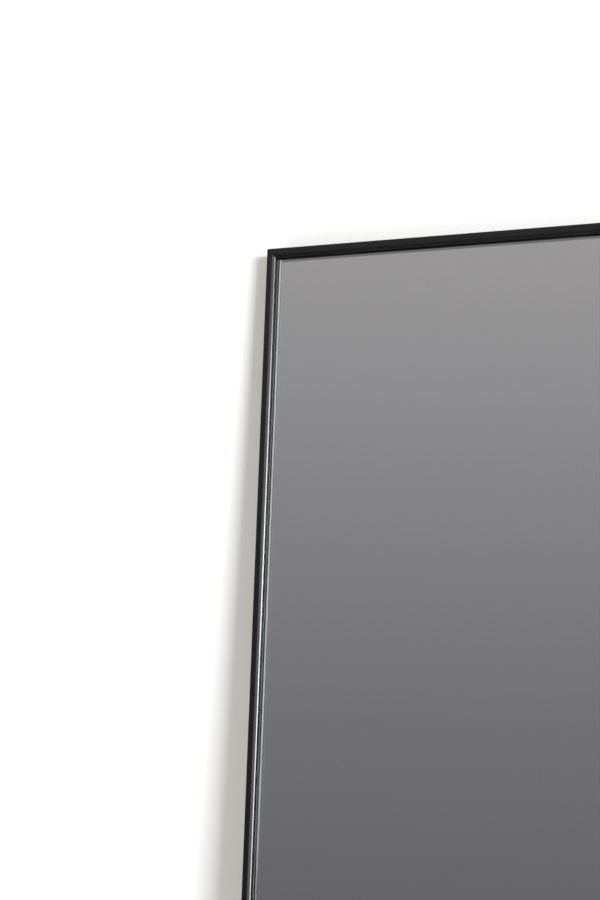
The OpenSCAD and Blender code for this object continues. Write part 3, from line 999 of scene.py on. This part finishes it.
def sectionCurve(sizes):
    # x runs inwards from the outer edge and y back from the front face
    edge, recess, front = sizes["edgeRadius"], sizes["glassRecess"], sizes["flangeFront"]
    rounded = arcPoints((edge, edge), edge, 180, 270, sizes["edgeSteps"])
    nose = arcPoints(noseMiddle, sizes["noseRadius"], slopeAngle - 90, sizes["lipDraft"],
                     sizes["noseSteps"])
    lipBase = nose[-1][0] - (recess - nose[-1][1]) * math.tan(math.radians(sizes["lipDraft"]))
    outline = [(0, frameDepth), *rounded, (sizes["rim"], 0), *nose, (lipBase, recess), (rebate, recess),
               (rebate, front), (flangeEnd, front), (flangeEnd, flangeBack), (rebate, flangeBack),
               (rebate, frameDepth)]
    near, far, rear = sizes["sideWall"], rebate - sizes["sideWall"], frameDepth - sizes["rearWall"]
    chamber = [(near, sizes["chamberFront"]), (far, sizes["chamberFront"]), (far, rear), (near, rear)]
    curve = bpy.data.curves.new("frameSection", "CURVE")
    curve.dimensions = "2D"
    curve.fill_mode = "NONE"
    for points in (outline, chamber):
        closedSpline(curve, [(inwards, back, 0) for inwards, back in points])
    return curve


def mitredLengthTree():
    tree, given = geometryTree("mitredLength", {
        "Length": "Float", "Reach": "Float", "Turn": "Float", "Middle": "Vector", "Finish": "Material"})
    length = given.pick("Length")
    face = tree.add("GeometryNodeFillCurve", {0: given})
    pushed = tree.add("GeometryNodeExtrudeMesh", {
        "Mesh": face, "Offset": (0, 0, 1), "Offset Scale": length, "Individual": False}, mode="FACES")
    start = tree.add("GeometryNodeFlipFaces", {"Mesh": face})
    joined = tree.add("GeometryNodeJoinGeometry", {"Geometry": [start, pushed]})
    closed = tree.add("GeometryNodeMergeByDistance", {
        "Geometry": joined, "Distance": meshSetup["mergeDistance"]})
    inwards, back, along = tree.parts(tree.add("GeometryNodeInputPosition"))
    mitred = along + inwards * (1 - along * 2 / length) - length / 2
    moved = tree.add("ShaderNodeCombineXYZ", {
        "X": inwards - given.pick("Reach"), "Y": back, "Z": mitred})
    cut = tree.add("GeometryNodeSetPosition", {"Geometry": closed, "Position": moved})
    turn = tree.add("ShaderNodeCombineXYZ", {"Y": given.pick("Turn")})
    stood = tree.add("GeometryNodeTransform", {
        "Geometry": cut, "Translation": given.pick("Middle"), "Rotation": turn})
    return finishTree(tree, stood, given.pick("Finish"))


def cornerScrewPlaces():
    near, far = spine * mm, cornerScrews["inset"] * mm
    spots = []
    for side in (-1, 1):
        for foot, way in ((bottomZ, 1), (topZ, -1)):
            spots.append((side * (outerHalf - near), rearY, foot + way * far))
            spots.append((side * (outerHalf - far), rearY, foot + way * near))
    return spots


def countersinks():
    # Cones that cut the seats of the corner screws out of the rear face
    sizes = cornerScrews
    depth = (sizes["head"] - sizes["thread"]) / 2
    neck, rim = sizes["thread"] / 2, sizes["head"] / 2 + sizes["seatPlay"]
    profile = [(neck, -depth - sizes["seatDepth"]), (neck + sizes["seatNeckPlay"], -depth), (rim, 0),
               (rim, sizes["seatAbove"])]
    cone = turned("seatCone", profile, screwForm["seatSteps"])
    work = bmesh.new()
    for spot in cornerScrewPlaces():
        copied = cone.data.copy()
        copied.transform(Matrix.Translation(spot) @ headToRear)
        work.from_mesh(copied)
    endWork(work, cone.data)
    return cone


def roundedBlock():
    # A block round the whole frame, with the corners that the mitres are filed to
    skin = framePiece["cornerClearance"]
    loop = roundedLoop(outerHalf + skin, frameHeight / 2 + skin, framePiece["cornerRadius"],
                       framePiece["cornerSteps"])
    rings = [[(x, y, middleZ + z) for x, z in loop] for y in (frontY - mm, rearY + mm)]
    return skinned("roundedBlock", rings)


def buildFrame():
    group = mitredLengthTree()
    seats, block = countersinks(), roundedBlock()
    # Each side's node, its turn in degrees, its length and how far out it stands
    lengths = {
        "leftUpright": ("frame_left_upright", 0, frameHeight, outerHalf),
        "topRail": ("frame_top_rail", 90, outerHalf * 2, frameHeight / 2),
        "rightUpright": ("frame_right_upright", 180, frameHeight, outerHalf),
        "bottomRail": ("frame_bottom_rail", 270, outerHalf * 2, frameHeight / 2),
    }
    made = []
    for name, (node, turn, length, reach) in lengths.items():
        piece = grown(name, sectionCurve(framePiece), group, {
            "Length": length, "Reach": reach, "Turn": math.radians(turn), "Middle": (0, frontY, middleZ),
            "Finish": finishes["blackPaint"]})
        tidyMesh(piece.data)
        shaped(piece, seats)
        shaped(piece, block, "INTERSECT")
        tidyMesh(piece.data)
        softenEdges(piece, framePiece["softEdge"])
        made.append(finishPiece(piece, "mirror", [node], "blackPaint"))
    bpy.data.objects.remove(seats)
    bpy.data.objects.remove(block)
    return made


frameParts = buildFrame()
print("Frame built:", sum(len(part.data.polygons) for part in frameParts), "faces")

# The pane: clear glass with ground edges, silvered on its back face
panePiece = {
    "arris": 0.5,  # width of the ground bevel
    "cornerRadius": 1.2,
    "cornerShrink": 0.6,  # of the inset, by which the corners tighten on the bevel
    "cornerSteps": 5,
    "filmGap": 0.03 * mm,  # keeps the silvering clear of the film, so that it mirrors
}


def buildPane():
    sizes = panePiece
    low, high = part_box("mirror_glass")
    arris = sizes["arris"] * mm
    backY = high.y - sizes["filmGap"]
    rings = []
    for inset, y in ((arris, low.y), (0, low.y + arris), (0, backY - arris), (arris, backY)):
        radius = sizes["cornerRadius"] * mm - inset * sizes["cornerShrink"]
        loop = roundedLoop(high.x - inset, (high.z - low.z) / 2 - inset, radius, sizes["cornerSteps"])
        rings.append([(x, y, middleZ + z) for x, z in loop])
    pane = skinned("pane", rings)
    for name in ("clearGlass", "silver", "groundEdge"):
        pane.data.materials.append(finishes[name])
    *edges, front, back = pane.data.polygons
    front.material_index = 0
    back.material_index = 1
    for edge in edges:
        edge.material_index = 2
    return finishPiece(pane, "mirror", ["mirror_glass"])


pane = buildPane()
print("Pane built")

# Wall loops: a strap of sheet steel folded round the bar of a bent wire
strapPiece = {
    "sheet": 1.0,
    "drawn": 0.98,  # sheet thickness less a hair, so that its two layers don't meet
    "layerGap": 0.02,
    "halfWidth": 5.5,
    "reach": 20.5,  # from the pivot to the end of the tongue
    "tongueRadius": 3.0,
    "eyeRadius": 1.58,
    "eyeStart": -1.5,  # height where the lower layer runs into the eye
    "eyeEnd": -93.5,  # angle where the eye runs into the bend behind it
    "eyeSteps": 40,
    "bendRadius": 0.9,  # the bend that brings the sheet back onto its lower layer
    "bendShift": 0.01,  # by which its middle lies nearer than one radius behind the upper layer
    "bendHeight": -2.974,
    "bendStart": 86.5,
    "bendSteps": 10,
    "stations": [-4, -6, -10, -14],  # heights of the cross-sections down the flat part
    "tongueAngles": range(15, 91, 15),  # degrees round its end
    "softAngle": 40.0,
    "softEdge": 0.15 * mm,
}
loopPiece = {
    "wire": 3.0,
    "halfWidth": 7.8,  # to the middle of the wire
    "corner": 2.0,
    "cornerSteps": 8,
    "bowHeight": -22.7,  # where the round end's middle lies, from the pivot
    "bowSteps": 40,
    "rings": 24,
}


def strapLine(sizes):
    # The middle of the sheet as (y, z): up the lower layer, round the eye and down the upper layer
    lower = -(sizes["eyeRadius"] + sizes["sheet"]) + sizes["drawn"] / 2
    upper = lower + sizes["sheet"] + sizes["layerGap"]
    around = sizes["eyeRadius"] + sizes["sheet"] / 2
    ring = arcPoints((0, 0), around, 180, sizes["eyeEnd"], sizes["eyeSteps"])
    bendMiddle = (upper + sizes["bendRadius"] - sizes["bendShift"], sizes["bendHeight"])
    bend = arcPoints(bendMiddle, sizes["bendRadius"], sizes["bendStart"], 180, sizes["bendSteps"])
    radius = sizes["tongueRadius"]
    tongue = -sizes["reach"] + radius
    down = sizes["stations"] + [tongue]
    down += [tongue - radius * math.sin(math.radians(angle)) for angle in sizes["tongueAngles"]]
    layers = [(lower, z) for z in reversed(down)], [(upper, z) for z in down]
    return [*layers[0], (lower, sizes["eyeStart"]), *ring, *bend, *layers[1]]


def buildStrap(name, node, pivot):
    sizes = strapPiece
    line = strapLine(sizes)
    radius = sizes["tongueRadius"]
    rings = []
    for i, (y, z) in enumerate(line):
        before, after = line[max(i - 1, 0)], line[min(i + 1, len(line) - 1)]
        along = Vector((after[0] - before[0], after[1] - before[1])).normalized()
        outwards = Vector((-along.y, along.x)) * sizes["drawn"] / 2
        into = max(0.0, -z - sizes["reach"] + radius)
        wide = sizes["halfWidth"] - radius + math.sqrt(max(radius ** 2 - into ** 2, 0))
        corners = [(-wide, outwards), (wide, outwards), (wide, -outwards), (-wide, -outwards)]
        rings.append([pivot + Vector((x, y + out.x, z + out.y)) * mm for x, out in corners])
    strap = skinned(name, rings)
    softenEdges(strap, sizes["softEdge"], sizes["softAngle"])
    finishPiece(strap, "mirror", [node], "zincPlate")


def loopCurve(sizes):
    wide, corner, steps = sizes["halfWidth"], sizes["corner"], sizes["cornerSteps"]
    path = arcPoints((wide - corner, -corner), corner, 90, 0, steps)
    path += arcPoints((0, sizes["bowHeight"]), wide, 0, -180, sizes["bowSteps"])
    path += arcPoints((-wide + corner, -corner), corner, 180, 90, steps)
    curve = bpy.data.curves.new("loopWire", "CURVE")
    curve.dimensions = "3D"
    closedSpline(curve, [(x, 0, z) for x, z in path])
    return curve


def bentWireTree():
    tree, given = geometryTree("bentWire", {
        "Radius": "Float", "Rings": "Int", "Pivot": "Vector", "Finish": "Material"})
    section = tree.add("GeometryNodeCurvePrimitiveCircle", {
        "Resolution": given.pick("Rings"), "Radius": given.pick("Radius")})
    wire = tree.add("GeometryNodeCurveToMesh", {"Curve": given, "Profile Curve": section})
    smooth = tree.add("GeometryNodeSetShadeSmooth", {"Geometry": wire})
    placed = tree.add("GeometryNodeTransform", {
        "Geometry": smooth, "Translation": given.pick("Pivot")})
    return finishTree(tree, placed, given.pick("Finish"))


def buildLoop(name, node, body, pivot):
    loop = grown(name, loopCurve(loopPiece), bentWire, {
        "Radius": loopPiece["wire"] / 2 * mm, "Rings": loopPiece["rings"], "Pivot": pivot,
        "Finish": finishes["nickelWire"]})
    finishPiece(loop, body, [node], "nickelWire")


bentWire = bentWireTree()
for side in ("left", "right"):
    pivot = hinges[side + "_loop_swing"]
    buildStrap(side + "Strap", side + "_hanger_strap", pivot)
    buildLoop(side + "Loop", side + "_hanger_loop", side + "_loop", pivot)
print("Wall loops built")

# Feet and bumpers: moulded rubber, so the solids' own shapes with softened edges
footPiece = {"softEdge": 0.35 * mm, "softAngle": 35.0}
bumperPiece = {"softEdge": 0.2 * mm, "softAngle": 35.0}


def softCopy(name, node, sizes):
    copied = frame["nodes"][node].data.copy()
    piece = newObject(name, copied)
    tidyMesh(copied)
    softenEdges(piece, sizes["softEdge"], sizes["softAngle"])
    finishPiece(piece, "mirror", [node], "rubber")


softCopy("leftFootPad", "left_foot", footPiece)
softCopy("rightFootPad", "right_foot", footPiece)
softCopy("bumperPads", "wall_bumpers", bumperPiece)
print("Feet and bumpers built")


def panelScrewPlaces():
    sizes = panelScrews
    inset = sizes["inset"] * mm
    line = (rebate + sizes["flangeShare"] * framePiece["flangeWidth"]) * mm
    places = []
    for i in range(sizes["uprightCount"]):
        z = bottomZ + inset + i * (frameHeight - 2 * inset) / (sizes["uprightCount"] - 1)
        places += [(side * (outerHalf - line), flangeFace, z) for side in (-1, 1)]
    for i in range(sizes["railCount"]):
        x = -outerHalf + inset + i * (outerHalf * 2 - 2 * inset) / (sizes["railCount"] - 1)
        places += [(x, flangeFace, z) for z in (topZ - line, bottomZ + line)]
    return places


def hangerScrewPlaces():
    onStrap = flangeFace + 2 * strapPiece["sheet"] * mm
    pivots = [hinges["left_loop_swing"], hinges["right_loop_swing"]]
    return [(pivot.x, onStrap, pivot.z - drop * mm) for pivot in pivots for drop in hangerScrews["drops"]]


spunCopies = spunCopiesTree()
sunkPlaces = [(x, y - cornerScrews["sunk"] * mm, z) for x, y, z in cornerScrewPlaces()]
placeScrews("panelScrewHeads", "panel_screws", "zincPlate", panelScrews,
            panHead(panelScrews), panelScrewPlaces())
placeScrews("hangerScrewHeads", "hanger_screws", "zincPlate", hangerScrews,
            panHead(hangerScrews), hangerScrewPlaces())
placeScrews("cornerScrewHeads", "corner_screws", "blackenedSteel", cornerScrews,
            countersunkHead(cornerScrews), sunkPlaces)
print("Screws set")

# Nodes whose own shape is right only take a finish
keptNodes = {
    "corner_keys": "castZinc",
    "safety_film": "safetyFilm",
    "foam_tape": "foam",
    "backing_panel": "fibreboard",
    "edge_spacers": "spacerPlastic",
}
for node, finish in keptNodes.items():
    for slot in frame["nodes"][node].material_slots:
        slot.material = finishes[finish]
print("Kept nodes finished:", len(keptNodes))

# The pane is left out of the gloss lamps' light, so that it shows the plain room alone
linkLamps("wholeMirror", [backKey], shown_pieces())
linkLamps("glossyParts", glossLamps, [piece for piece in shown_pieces() if piece != pane])
